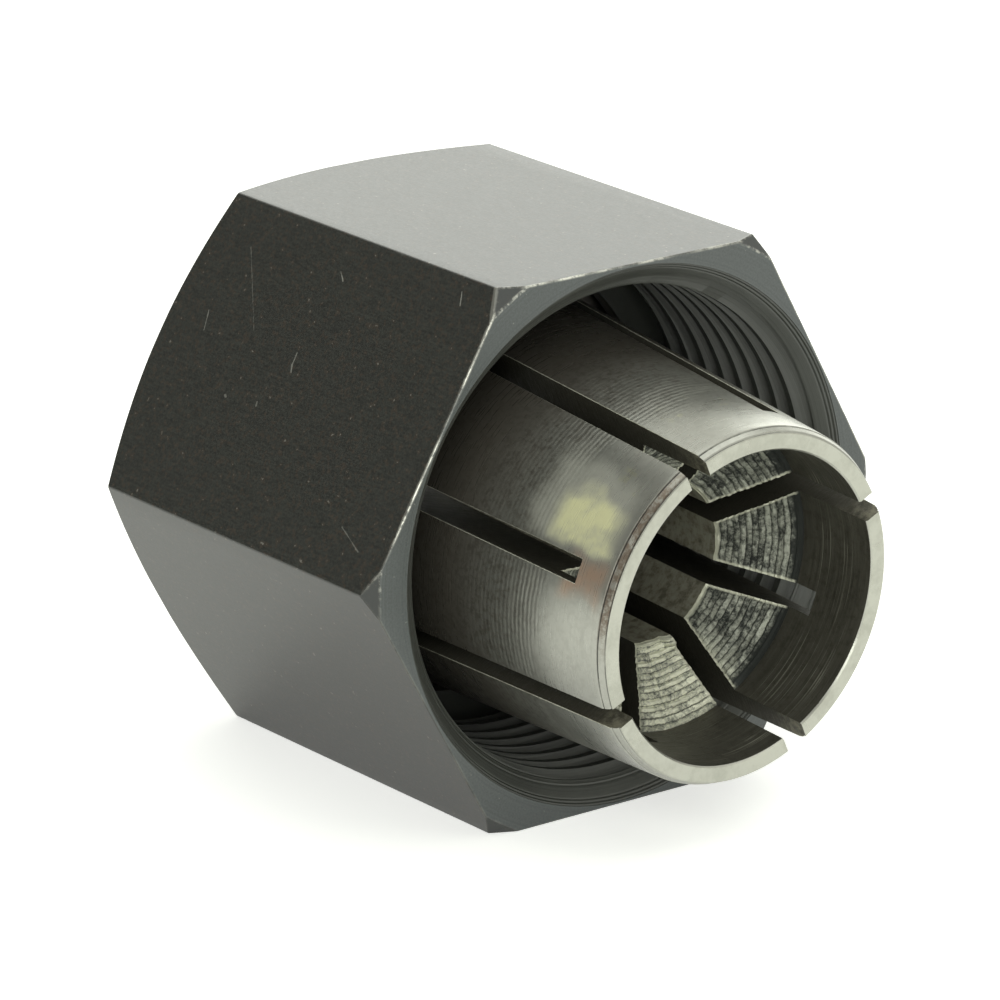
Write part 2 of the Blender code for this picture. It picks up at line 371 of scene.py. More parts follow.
class Nodes:
    """A node tree, with short ways to wire it."""

    def __init__(self, tree):
        self.tree = tree

    def node(self, kind, inputs=(), output=0, **settings):
        """Add a node, fill or link its inputs by number or name, and give one output."""
        node = self.tree.nodes.new(kind)
        for key, value in settings.items():
            setattr(node, key, value)
        for key, value in dict(inputs).items():
            self.feed(node.inputs[key], value)
        return node.outputs[output]

    def feed(self, socket, value):
        """Link a socket to another's output, or set its value."""
        if isinstance(value, bpy.types.NodeSocket):
            self.tree.links.new(value, socket)
        elif socket.type == "RGBA":
            socket.default_value = (*value[:3], 1.0)
        else:
            socket.default_value = value

    def math(self, operation, *values, clamp=False):
        """A Math node over two or three values or sockets."""
        return self.node(
            "ShaderNodeMath", enumerate(values), operation=operation, use_clamp=clamp
        )

    def chain(self, operation, values):
        """Math nodes of one operation, each over the last result and the next value."""
        result = values[0]
        for value in values[1:]:
            result = self.math(operation, result, value)
        return result

    def times(self, *values):
        """The product of several values or sockets."""
        return self.chain("MULTIPLY", values)

    def plus(self, *values):
        """The sum of several values or sockets."""
        return self.chain("ADD", values)

    def most(self, *values):
        """The largest of several values or sockets."""
        return self.chain("MAXIMUM", values)

    def minus(self, first, second):
        """The difference of two values or sockets."""
        return self.math("SUBTRACT", first, second)

    def gap(self, first, second):
        """How far apart two values or sockets are."""
        return self.math("ABSOLUTE", self.minus(first, second))

    def ramp(self, value, low, high, to_low=0.0, to_high=1.0):
        """A smooth step of a value from low to high."""
        return self.node(
            "ShaderNodeMapRange",
            {0: value, 1: low, 2: high, 3: to_low, 4: to_high},
            interpolation_type="SMOOTHSTEP",
        )

    def band(self, value, low, high, soft):
        """One between low and high, with soft ends."""
        return self.times(
            self.ramp(value, low - soft, low + soft),
            self.ramp(value, high - soft, high + soft, 1.0, 0.0),
        )

    def mix(self, amount, first, second):
        """Mix two colours by an amount."""
        return self.node(
            "ShaderNodeMix", {0: amount, 6: first, 7: second}, output=2, data_type="RGBA"
        )

    def noise(self, vector, scale, detail=3.0, roughness=0.5):
        """A noise pattern, 0 to 1."""
        return self.node(
            "ShaderNodeTexNoise",
            {"Vector": vector, "Scale": scale, "Detail": detail, "Roughness": roughness},
        )

    def vector_math(self, operation, *values, output=0):
        """A Vector Math node over vectors."""
        return self.node(
            "ShaderNodeVectorMath", enumerate(values), output=output, operation=operation
        )

    def rays(self):
        """What kind of ray is traced, one output for each kind."""
        return self.node("ShaderNodeLightPath").node.outputs


class Finish(Nodes):
    """A finish, wired node by node around one Principled BSDF."""

    def __init__(self, name):
        self.material = bpy.data.materials.new(name)
        self.material.use_nodes = True
        super().__init__(self.material.node_tree)
        self.shader = self.tree.nodes["Principled BSDF"]

    def segment(self, point, start, end, wander, width):
        """One on a slightly wandering line from start to end, fading at its width."""
        along = Vector(end) - Vector(start)
        span = along.dot(along)
        from_start = self.vector_math("SUBTRACT", point, start)
        share = self.vector_math("DOT_PRODUCT", from_start, tuple(along), output=1)
        share = self.math("DIVIDE", share, span, clamp=True)
        x, y, z = (self.times(share, part) for part in along)
        nearest = self.together(x, y, z)
        away = self.vector_math("DISTANCE", from_start, nearest, output=1)
        return self.ramp(self.plus(away, self.times(wander, 0.4)), width, width * 0.4)

    def place(self, location, rotation):
        """Object coordinates brought to a piece's own axis, in millimetres."""
        coordinates = self.node("ShaderNodeTexCoord", output="Object")
        return self.node(
            "ShaderNodeMapping",
            {
                "Vector": coordinates,
                "Location": location,
                "Rotation": rotation,
                "Scale": (MM, MM, MM),
            },
            vector_type="TEXTURE",
        )

    def stretch(self, vector, scale):
        """A pattern's coordinates, stretched or squeezed along its axes."""
        return self.node("ShaderNodeMapping", {"Vector": vector, "Scale": scale})

    def apart(self, vector):
        """The X, Y and Z of a vector."""
        return self.node("ShaderNodeSeparateXYZ", {0: vector}).node.outputs

    def together(self, x, y, z=0.0):
        """A vector from three values."""
        return self.node("ShaderNodeCombineXYZ", {0: x, 1: y, 2: z})

    def radius(self, y, z):
        """The distance from the X axis."""
        return self.math("SQRT", self.plus(self.times(y, y), self.times(z, z)))

    def bump(self, height, distance, strength):
        """A bump, its distance in millimetres."""
        return self.node(
            "ShaderNodeBump",
            {"Height": height, "Distance": distance * MM, "Strength": strength},
        )

    def set(self, **sockets):
        """Set or link the shader's sockets by name."""
        for name, value in sockets.items():
            self.feed(self.shader.inputs[name.replace("_", " ")], value)


class NutFinish(Finish):
    """A finish that knows the nut's axis, its radius and how near a point is to its flats."""

    def __init__(self, name):
        super().__init__(name)
        self.point = self.place((0.0, 0.0, AXIS_HEIGHT * MM), (0.0, 0.0, 0.0))
        self.x, self.y, self.z = self.apart(self.point)
        self.r = self.radius(self.y, self.z)
        half_z = self.times(self.z, 0.5)
        side_y = self.times(self.y, math.sin(math.pi / 3))
        first = self.math("ABSOLUTE", self.z)
        second = self.math("ABSOLUTE", self.plus(side_y, half_z))
        third = self.gap(side_y, half_z)
        self.nearest = self.most(first, second, third)
        least = self.math("MINIMUM", self.math("MINIMUM", first, second), third)
        both = self.minus(self.plus(first, second, third), self.nearest)
        self.next_nearest = self.minus(both, least)


# The colours that have no setting in the sidebar; a pair is the darkest and the lightest
BROWN_SPECK = (0.040, 0.027, 0.017)
# FACET_SHADE is painted shade on the nut's turned corner facets
FACET_SHADE = (0.020, 0.023, 0.022)
# DARKER_STEEL: the colour of a darker band on the taper behind the stains
DARKER_STEEL = (0.27, 0.27, 0.24)
GRIME = (0.12, 0.105, 0.085)
# HIGHLIGHT_STEEL is a painted highlight: a pale colour beside the straw stain on the taper
HIGHLIGHT_STEEL = (0.56, 0.56, 0.49)
FRONT_STEEL = ((0.43, 0.43, 0.375), (0.51, 0.51, 0.45))
# BROWN_SHADED_STEEL: the nose chamfer's brown tint, darkened as painted shade
BROWN_SHADED_STEEL = (0.15, 0.11, 0.08)
# NOSE_GROOVE_SHADE is painted shade in the small turned grooves at the nose
NOSE_GROOVE_SHADE = (0.035, 0.036, 0.040)
# The lighter colour of each of these two pairs is a painted highlight on the lowest cone segment
TORN_STEEL_AND_HIGHLIGHT = ((0.38, 0.39, 0.33), (0.90, 0.90, 0.73))
CONE_PITS_AND_HIGHLIGHT = ((0.030, 0.033, 0.030), (0.090, 0.098, 0.095))
CONE_BURR = (0.60, 0.60, 0.49)
COUNTERBORE_WALL = ((0.036, 0.034, 0.027), (0.155, 0.148, 0.12))
COUNTERBORE_GRIME = (0.045, 0.040, 0.029)
COUNTERBORE_SCRATCH = (0.50, 0.49, 0.41)
BORE_WALL = ((0.18, 0.172, 0.132), (0.46, 0.45, 0.36))
BORE_GRIME = (0.14, 0.125, 0.092)
SAW_BURR = ((0.38, 0.37, 0.30), (0.74, 0.74, 0.62))
SPRING_STEEL = ((0.12, 0.11, 0.10), (0.26, 0.24, 0.22))

# Scratches and chips on the dark flat: start and end in millimetres from the middle of the
# nut, half width, and strength
SCRATCH_STRENGTH = 0.6
SCRATCHES = (
    ((8.27, -8.16, 12.86), (8.54, -8.48, 12.31), 0.045, 0.75),
    ((-0.28, -8.72, 11.90), (0.12, -8.90, 11.58), 0.040, 0.70),
    ((-8.16, -10.71, 8.46), (-7.89, -11.20, 7.60), 0.040, 0.50),
    ((-0.82, -10.89, 8.14), (-0.80, -11.20, 7.60), 0.040, 0.70),
    ((-0.80, -11.20, 7.60), (-0.66, -11.36, 7.32), 0.070, 0.60),
    ((-7.18, -8.92, 11.55), (-4.44, -10.76, 8.37), 0.030, 0.25),
    ((7.23, -14.27, 2.28), (8.98, -14.66, 1.60), 0.035, 0.35),
    ((-4.45, -12.46, 5.42), (-4.35, -12.49, 5.37), 0.080, 0.35),
    ((-2.06, -12.33, 5.65), (-2.02, -12.42, 5.49), 0.060, 0.35),
    ((10.32, -7.79, 13.50), (10.95, -8.53, 12.20), 0.170, 0.40),
)


def black_oxide(sizes):
    """Satin black oxide over milled flats, bluer on the turned mouth, worn at the edges."""
    mat = NutFinish("black_oxide")
    point = mat.point
    flat = sizes.flat
    grain = mat.noise(mat.stretch(point, (0.8, 7.0, 7.0)), 1.6, 3.0, 0.6)
    fine = mat.noise(point, 9.0, 3.0, 0.65)
    speck = mat.noise(point, 4.2, 2.0, 0.5)
    ragged = mat.noise(point, 2.6, 4.0, 0.75)
    broad = mat.noise(point, 0.5, 2.0, 0.5)
    wander = mat.times(mat.minus(ragged, 0.5), 0.30)

    # The corners' turned facets, drawn darker as painted shade, and how near a point is to the
    # edges of the mouth
    below_mouth = mat.minus(MOUTH_X, mat.x)
    off_facet = mat.gap(mat.plus(mat.r, mat.x), sizes.mouth_radius + MOUTH_X)
    on_facet = mat.times(
        mat.ramp(off_facet, 0.06, 0.01),
        mat.ramp(mat.nearest, flat - 0.01, flat - 0.06),
        mat.ramp(below_mouth, 0.01, 0.04),
    )
    at_arc = mat.times(
        mat.ramp(mat.gap(mat.r, sizes.mouth_radius), 0.11, 0.02),
        mat.ramp(below_mouth, 0.12, 0.05),
        mat.ramp(ragged, 0.44, 0.62, 0.05, 0.75),
    )
    at_corner = mat.times(
        mat.ramp(mat.plus(off_facet, wander), 0.20, 0.06),
        mat.ramp(mat.nearest, flat - 0.10, flat - 0.02),
        mat.ramp(mat.x, MOUTH_X - 2.5, MOUTH_X - 2.0),
        mat.ramp(ragged, 0.46, 0.62, 0.03, 0.35),
    )
    at_mouth = mat.times(
        mat.ramp(mat.plus(below_mouth, wander), 0.16, 0.05),
        mat.ramp(mat.nearest, flat - 0.13, flat - 0.04),
        mat.ramp(broad, 0.35, 0.62, 0.15, 1.0),
        mat.ramp(ragged, 0.34, 0.54, 0.20, 1.0),
    )
    at_long = mat.times(
        mat.ramp(mat.next_nearest, flat - 0.12, flat - 0.05),
        mat.ramp(ragged, 0.58, 0.74),
        0.25,
    )
    scratched = 0.0
    for start, end, width, strength in SCRATCHES:
        line = mat.segment(point, start, end, wander, width)
        line = mat.times(line, strength * SCRATCH_STRENGTH)
        scratched = mat.most(line, scratched)
    # The worn marks at the mouth and corners are drawn stronger towards the top
    towards_top = mat.ramp(mat.z, -0.6, 1.4, 0.15, 1.0)
    worn = mat.most(
        mat.times(mat.most(at_mouth, at_corner, at_arc), towards_top),
        at_long,
        scratched,
        mat.times(mat.ramp(speck, 0.71, 0.78), 0.25),
    )

    turned_mouth = mat.ramp(mat.x, MOUTH_X - 0.03, MOUTH_X - 0.01)
    ground = mat.plus(mat.times(grain, 0.35), mat.times(fine, 0.65))
    oxide = mat.mix(
        mat.ramp(ground, 0.36, 0.64), tinted(sizes.oxide, 0.50), tinted(sizes.oxide, 1.5)
    )
    brown = mat.times(mat.ramp(speck, 0.50, 0.68), 0.6)
    oxide = mat.mix(brown, oxide, BROWN_SPECK)
    turning = mat.noise(mat.together(mat.times(mat.r, 9.0), 0.0), 1.0, 3.0, 0.6)
    blue = mat.mix(
        mat.ramp(mat.plus(turning, fine), 0.8, 1.2), sizes.blue, tinted(sizes.blue, 1.5)
    )
    base = mat.mix(turned_mouth, oxide, blue)
    # Painted shade on the corners' turned facets
    base = mat.mix(mat.times(on_facet, 0.8), base, FACET_SHADE)
    base = mat.mix(worn, base, sizes.worn)
    rough = mat.plus(mat.ramp(ground, 0.35, 0.65, 0.31, 0.39), mat.times(on_facet, 0.22))
    mat.set(
        Base_Color=base,
        Metallic=worn,
        Roughness=rough,
        IOR=1.7,
        Normal=mat.bump(ground, 0.01, 0.30),
    )
    return mat.material


def oiled_bore(sizes):
    """The blackened and oiled inside of the nut, with turning rings."""
    mat = NutFinish("oiled_bore")
    lines = mat.noise(mat.together(mat.times(mat.x, 9.0), mat.r), 1.0, 3.0, 0.6)
    mottle = mat.noise(mat.point, 0.6, 4.0, 0.65)
    mat.set(
        Base_Color=mat.mix(mottle, tinted(sizes.bore, 0.75), tinted(sizes.bore, 1.4)),
        Roughness=mat.ramp(lines, 0.3, 0.7, 0.34, 0.52),
        IOR=1.75,
        Normal=mat.bump(lines, 0.03, 0.8),
    )
    return mat.material


def hexagon_bar(sizes):
    """A hexagonal bar with all its edges a little rounded."""
    bm = bmesh.new()
    bmesh.ops.create_cone(
        bm,
        cap_ends=True,
        segments=HEX_SIDES,
        radius1=sizes.corner,
        radius2=sizes.corner,
        depth=MOUTH_X - BACK_X,
        matrix=Matrix.Rotation(math.pi / 2, 4, "Y"),
    )
    bmesh.ops.bevel(
        bm,
        geom=bm.edges[:],
        offset=sizes.edge_round / MM,
        offset_type="OFFSET",
        segments=3,
        profile=0.5,
        affect="EDGES",
        material=-1,
        clamp_overlap=False,
    )
    bmesh.ops.recalc_face_normals(bm, faces=bm.faces)
    return bm


def chamfered_ends(sizes):
    """The turned blank whose ends chamfer the hexagon's corners, by 45 and 30 degrees."""
    reach = sizes.corner + OVERRUN
    mouth_run = reach - sizes.mouth_radius
    back_radius = sizes.flat - BACK_EDGE
    back_run = (reach - back_radius) * BACK_CHAMFER_SLOPE
    past = 1.0
    profile = [
        (MOUTH_X + past, 0.0),
        (MOUTH_X + past, sizes.mouth_radius - past),
        (MOUTH_X - mouth_run, reach),
        (BACK_X + back_run, reach),
        (BACK_X, back_radius),
        (BACK_X, 0.0),
    ]
    return turned(profile, BLANK_STEPS)


def bored_out(sizes):
    """What is bored out of the nut: ringed countersink, relief, head bore, groove and seat."""
    rng = random.Random(7)
    lip = sizes.flat - sizes.lip / MM
    crest = sizes.thread_crest / MM
    relief = sizes.thread_root / MM + RELIEF_STEP
    nut_length = MOUTH_X - BACK_X
    sink = lip - crest
    stations = [(-OVERRUN, 0.0), (-OVERRUN, lip + OVERRUN), (0.0, lip)]
    for index in range(sizes.sink_rings):
        for share, low, high in SINK_RELIEF:
            start = (index + share) / sizes.sink_rings * sink
            stations.append((start, lip - start + rng.uniform(low, high)))
    stations += [
        (sink, crest),
        (THREAD_END, crest),
        (THREAD_END, relief),
        (RELIEF_END, relief),
        (RELIEF_END, HEAD_BORE_R),
        (NUT_GROOVE_START, HEAD_BORE_R),
        (NUT_GROOVE_START, NUT_GROOVE_R),
        (NUT_GROOVE_END, NUT_GROOVE_R),
        (NUT_GROOVE_END, HEAD_BORE_R),
        (SEAT_START, HEAD_BORE_R),
        (SEAT_END, EXIT_R),
        (nut_length - EXIT_CHAMFER, EXIT_R),
        (nut_length + OVERRUN, EXIT_R + EXIT_CHAMFER + OVERRUN),
        (nut_length + OVERRUN, 0.0),
    ]
    profile = [(MOUTH_X - depth, radius) for depth, radius in stations]
    return turned(profile, BORE_STEPS)


def thread_ridge(sizes):
    """The right-hand helical ridge that cuts the thread, run out at both of its ends."""
    pitch = sizes.pitch / MM
    root = sizes.thread_root / MM
    eased = root - ROOT_EASE
    inside = sizes.thread_crest / MM - CREST_OVERLAP
    section = [
        (0.0, inside),
        (0.17, inside),
        (0.56, eased),
        (0.64, root),
        (0.76, root),
        (0.84, eased),
        (1.23, inside),
        (pitch, inside),
    ]
    start = MOUTH_X - HELIX_START
    section = [(start + x, radius) for x, radius in section]
    bm = spun(section, THREAD_STEPS, HELIX_TURNS, pitch)
    for end, outward in ((MOUTH_X - RUN_OUT, -1.0), (MOUTH_X + RUN_IN, 1.0)):
        bmesh.ops.bisect_plane(
            bm,
            geom=bm.verts[:] + bm.edges[:] + bm.faces[:],
            plane_co=(end, 0.0, 0.0),
            plane_no=(outward, 0.0, 0.0),
            clear_outer=True,
            dist=MERGE_DISTANCE,
        )
    bmesh.ops.holes_fill(bm, edges=[edge for edge in bm.edges if edge.is_boundary], sides=0)
    bmesh.ops.recalc_face_normals(bm, faces=bm.faces)
    return bm


class ROUTERCOLLET_OT_nut(bpy.types.Operator):
    """Make the blackened hexagonal nut with its internal thread"""

    bl_idname = "router_collet.nut"
    bl_label = "Clamping nut"

    def execute(self, context):
        sizes = context.scene.router_collet_nut
        outside = black_oxide(sizes)
        inside = oiled_bore(sizes)
        nut = placed_object("clamping_nut", hexagon_bar(sizes), NUT_PLACE, [outside])
        blank = placed_object("blank", chamfered_ends(sizes), NUT_PLACE, [outside])
        cut(nut, blank, "INTERSECT")
        bore = placed_object("bore", bored_out(sizes), NUT_PLACE, [inside])
        cut(nut, bore, "DIFFERENCE")
        ridge = placed_object("ridge", thread_ridge(sizes), NUT_PLACE, [inside])
        cut(nut, ridge, "DIFFERENCE")
        shade(nut, NUT_CRISP_DEG)
        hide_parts("collet_nut")
        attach(nut, "nut")
        return {"FINISHED"}


def collet_section(sizes):
    """The collet's section, nose first, with the rough rings of the drilled cone."""
    rng = random.Random(3)
    counterbore = sizes.counterbore
    cone_run = (counterbore - BORE_R) / DRILL_SLOPE
    run_in = 0.4
    rim = NOSE_R - NOSE_EDGE_HEIGHT
    shoulder = NOSE_REACH - NOSE_EDGE_LENGTH
    outside = [
        (NOSE_REACH, rim - 0.03),
        (NOSE_REACH - 0.04, rim + 0.02),
        (NOSE_REACH - 0.08, rim - 0.02),
        (NOSE_REACH - 0.12, rim - 0.01),
        (NOSE_REACH - 0.16, rim + 0.08),
        (shoulder + 0.12, NOSE_R - 0.06),
        (shoulder + 0.09, NOSE_R - 0.10),
        (shoulder + 0.05, NOSE_R - 0.09),
        (shoulder + 0.02, NOSE_R - 0.01),
        (shoulder - 0.03, NOSE_R),
        (shoulder - run_in, NOSE_R + run_in * TAPER_SLOPE),
        (GROOVE_HALF, NOSE_R + TAPER_SLOPE * (shoulder - GROOVE_HALF)),
        (GROOVE_HALF, GROOVE_FLOOR_R),
        (-GROOVE_HALF, GROOVE_FLOOR_R),
        (-GROOVE_HALF, FLANGE_R),
        (FLANGE_BACK, FLANGE_R),
        (CONE_BACK, NECK_R),
        (COLLET_BACK, NECK_R),
        (COLLET_BACK, BORE_R + BORE_CHAMFER),
        (COLLET_BACK + BORE_CHAMFER, BORE_R),
    ]
    bottom = sizes.cone_front - cone_run
    cone = [(bottom, BORE_R)]
    for index in range(CONE_RINGS):
        for step, low, high in CONE_RELIEF:
            share = (index + step) / CONE_RINGS
            rise = rng.uniform(low, high)
            radius = BORE_R + (counterbore - BORE_R) * share
            cone.append((bottom + cone_run * share + rise, radius))
    inside = [
        (sizes.cone_front, counterbore),
        (NOSE_REACH - NOSE_BREAK, counterbore),
        (NOSE_REACH, counterbore + NOSE_BREAK),
    ]
    return outside + cone + inside


def saw_cuts(sizes):
    """Eight saw cuts: four open at the nose, and four at the back halfway between them.

    The round blade leaves each closed end sloping, so that a cut is shorter inside.
    """
    half = sizes.half_slot
    lip = sizes.edge_break / MM
    wide = half + 2 * lip
    low = BORE_R - SAW_INSET
    high = FLANGE_R + OVERRUN
    bm = bmesh.new()
    for index in range(2 * SLOTS_PER_END):
        if index % 2 == 0:
            closed, opened = COLLET_BACK + BACK_BRIDGE, NOSE_REACH + OVERRUN
            outer_radius, inward = FLANGE_R, 1.0
        else:
            closed, opened = NOSE_REACH - NOSE_BRIDGE, COLLET_BACK - OVERRUN
            outer_radius, inward = NOSE_R, -1.0
        taper = NOSE_R + TAPER_SLOPE * (NOSE_REACH - NOSE_EDGE_LENGTH - closed)
        side = [(half, low), (half, taper - lip), (wide, taper + lip), (wide, high)]
        corners = side + [(-y, z) for y, z in reversed(side)]
        start = [bm.verts.new((closed, y, z)) for y, z in corners]
        made = bmesh.ops.extrude_face_region(bm, geom=[bm.faces.new(start)])["geom"]
        end = [item for item in made if isinstance(item, bmesh.types.BMVert)]
        for vert in end:
            vert.co.x = opened
            if low < vert.co.z < high:
                vert.co.z += TAPER_SLOPE * (closed - opened)
        for vert in start:
            vert.co.x += inward * SAW_END_SLOPE * (outer_radius - vert.co.z)
        for face in {face for vert in end for face in vert.link_faces}:
            widths = {round(abs(vert.co.y), 4) for vert in face.verts}
            face.material_index = int(len(face.verts) == 4 and len(widths) == 2)
        turn = Matrix.Rotation(FIRST_SLOT - math.pi / SLOTS_PER_END * index, 4, "X")
        bmesh.ops.transform(bm, matrix=turn, verts=start + end)
    bmesh.ops.recalc_face_normals(bm, faces=bm.faces)
    return bm


def sort_surfaces(bm, sizes):
    """Give each turned face of the collet its material slot."""
    cone_back = sizes.cone_front - CONE_ROOM
    margin = 0.02
    close = 0.01
    for face in bm.faces:
        middle = face.calc_center_median()
        radius = math.hypot(middle.y, middle.z)
        if radius > sizes.counterbore + margin or middle.x < COLLET_BACK + close:
            face.material_index = TURNED
        elif radius > sizes.counterbore - margin:
            face.material_index = COUNTERBORE
        elif middle.x > cone_back and radius > BORE_R + close:
            face.material_index = DRILLED
        else:
            face.material_index = BORE


def roughen_cone(bm, sizes):
    """Leave chatter on the drilled cone, and burrs where the saw and the bore will cut it."""
    cone_back = sizes.cone_front - CONE_ROOM
    inner, outer = BORE_R - 0.01, sizes.counterbore - 0.1
    burr = sizes.burr / MM
    between = math.pi / SLOTS_PER_END
    for vert in bm.verts:
        radius = math.hypot(vert.co.y, vert.co.z)
        if vert.co.x < cone_back or not inner < radius < outer:
            continue
        turn = math.atan2(-vert.co.y, vert.co.z) - FIRST_SLOT
        off = (turn + between / 2) % between - between / 2
        beside = min(radius * abs(math.sin(off)) - sizes.half_slot, radius - BORE_R)
        raised = clamped((burr - beside) / (burr / 2))
        chatter = sum(height * noise.noise(vert.co * scale) for height, scale in CHATTER)
        torn = math.hypot(vert.co.y - TORN_CORNER[0], vert.co.z - TORN_CORNER[1])
        lump = LUMP_HEIGHT * clamped((LUMP_REACH - torn) / LUMP_FLANK)
        uneven = 1.0 + noise.noise(vert.co * BURR_SCALE)
        vert.co.x += chatter + lump + raised * BURR_HEIGHT * uneven


class ColletFinish(Finish):
    """A finish that knows the distance from the nose, the radius and the turn."""

    def __init__(self, name):
        super().__init__(name)
        self.point = self.place(PIVOT * MM, (0.0, COLLET_DROOP, COLLET_YAW))
        self.x, self.y, self.z = self.apart(self.point)
        self.r = self.radius(self.y, self.z)
        self.depth = self.minus(NOSE_REACH, self.x)
        self.turn = self.math("ARCTAN2", self.times(self.y, -1.0), self.z)

    def ringwise(self, along, around, scale, detail=4.0, roughness=0.65):
        """Noise drawn out along the turning direction."""
        vector = self.together(self.times(self.x, along), self.times(self.turn, around))
        return self.noise(vector, scale, detail, roughness)


def turned_steel(sizes):
    """The turned taper: polished at the nose, feed lines behind it, stained by temper, with
    painted shade deep in the nut and painted highlights beside the stains.
    """
    mat = ColletFinish("turned_steel")
    fine = mat.ringwise(7.0, 3.0, 1.6, 3.0, 0.5)
    mottle = mat.noise(mat.point, 0.6, 4.0, 0.65)
    grime = mat.noise(mat.point, 3.0, 4.0, 0.7)
    wobble = mat.minus(mat.noise(mat.point, 0.5, 1.0, 0.4), 0.5)
    depth = mat.plus(mat.depth, mat.times(wobble, 1.6))
    degrees = mat.plus(mat.times(mat.turn, 180.0 / math.pi), mat.times(wobble, 16.0))

    # Feed lines, a little uneven
    uneven = mat.noise(mat.stretch(mat.point, (0.5, 2.2, 2.2)), 1.0, 4.0, 0.7)
    phase = mat.plus(mat.times(mat.x, 2 * math.pi / FEED), mat.times(uneven, 4.5))
    ridges = mat.math("SINE", phase)
    lined = mat.times(
        mat.band(depth, 4.7, 9.5, 0.8), mat.ramp(mottle, 0.25, 0.6, 0.4, 1.0)
    )

    # Painted shade: the steel is drawn darker, and less metallic further down, the deeper it
    # goes into the nut
    deep = mat.ramp(depth, 4.0, 11.5)
    base = mat.mix(deep, sizes.steel, sizes.painted_shade_deep)
    # A darker band behind the stains
    darker_band = mat.times(mat.band(depth, 4.6, 8.0, 0.5), 0.30)
    base = mat.mix(darker_band, base, DARKER_STEEL)
    dark = mat.times(mat.ramp(grime, 0.42, 0.66), mat.ramp(depth, 3.0, 8.0, 0.12, 0.55))
    base = mat.mix(dark, base, GRIME)
    faded = mat.ramp(mottle, 0.34, 0.60, 0.45, 0.95)
    # Painted highlight: a pale band beside the straw stain, drawn lighter and less metallic
    painted_highlight = mat.times(
        mat.band(depth, 0.8, 6.4, 0.9), mat.band(degrees, 39.0, 67.0, 5.0), 0.6
    )
    base = mat.mix(painted_highlight, base, HIGHLIGHT_STEEL)
    # The straw temper stain: partly a real yellow tint, partly a painted highlight, drawn
    # lighter and less metallic
    straw_and_highlight = mat.times(
        mat.band(depth, 1.0, 4.8, 0.55), mat.band(degrees, 48.5, 66.0, 3.0), faded
    )
    base = mat.mix(straw_and_highlight, base, sizes.straw_and_highlight)
    rose = mat.times(
        mat.band(depth, 0.7, 3.3, 0.5), mat.band(degrees, 68.5, 79.5, 3.5), faded
    )
    base = mat.mix(rose, base, sizes.rose)
    blotched = mat.plus(mottle, mat.times(grime, 0.5))
    front = mat.mix(mat.ramp(blotched, 0.55, 0.90), *FRONT_STEEL)
    base = mat.mix(mat.ramp(mat.depth, 0.07, 0.03), base, front)
    # Straw flecks further along: the same stain and painted highlight
    rest = mat.times(mat.ramp(mottle, 0.60, 0.72), mat.band(depth, 0.6, 5.0, 0.6), 0.3)
    base = mat.mix(rest, base, sizes.straw_and_highlight)

    # The nose chamfer: brown, drawn darker on its upper side as painted shade, with painted
    # shade in the turned groove at either border
    outside = mat.ramp(mat.r, NOSE_R - NOSE_EDGE_HEIGHT - 0.04, NOSE_R - NOSE_EDGE_HEIGHT)
    chamfer = mat.times(outside, mat.band(mat.depth, 0.06, NOSE_EDGE_LENGTH - 0.03, 0.03))
    # Painted shade: the chamfer's upper side is drawn brown and dark, and less metallic further
    # down
    upper = mat.band(degrees, 30.0, 88.0, 9.0)
    browned_and_shaded = mat.times(chamfer, mat.ramp(grime, 0.36, 0.58, 0.35, 1.0), upper)
    base = mat.mix(mat.times(browned_and_shaded, 0.9), base, BROWN_SHADED_STEEL)
    # Painted shade in the two small turned grooves of the nose chamfer
    inner = mat.band(mat.depth, 0.075, 0.125, 0.02)
    outer = mat.band(mat.depth, 0.39, 0.46, 0.02)
    broken = mat.ramp(mat.ringwise(1.0, 6.0, 1.0, 3.0, 0.6), 0.38, 0.50, 0.25, 1.0)
    lines = mat.times(outside, mat.most(inner, outer), broken)
    base = mat.mix(mat.times(lines, 0.85), base, NOSE_GROOVE_SHADE)

    height = mat.plus(
        mat.times(ridges, lined, 0.36), mat.times(fine, 0.22), mat.times(grime, 0.25)
    )
    # Less metal where the painted shade is drawn, deep in the nut and on the nose chamfer
    plain = mat.math("MULTIPLY_ADD", mat.most(deep, browned_and_shaded), -0.25, 0.90)
    # Less metal where stained, and where the painted highlights are drawn
    stained = mat.plus(
        mat.times(straw_and_highlight, 0.52), mat.times(rose, 0.30), mat.times(painted_highlight, 0.40)
    )
    mat.set(
        Base_Color=base,
        Metallic=mat.minus(plain, stained),
        Roughness=mat.plus(mat.ramp(fine, 0.3, 0.7, 0.26, 0.34), mat.times(lined, 0.08)),
        Normal=mat.bump(height, 0.02, 0.5),
    )
    return mat.material


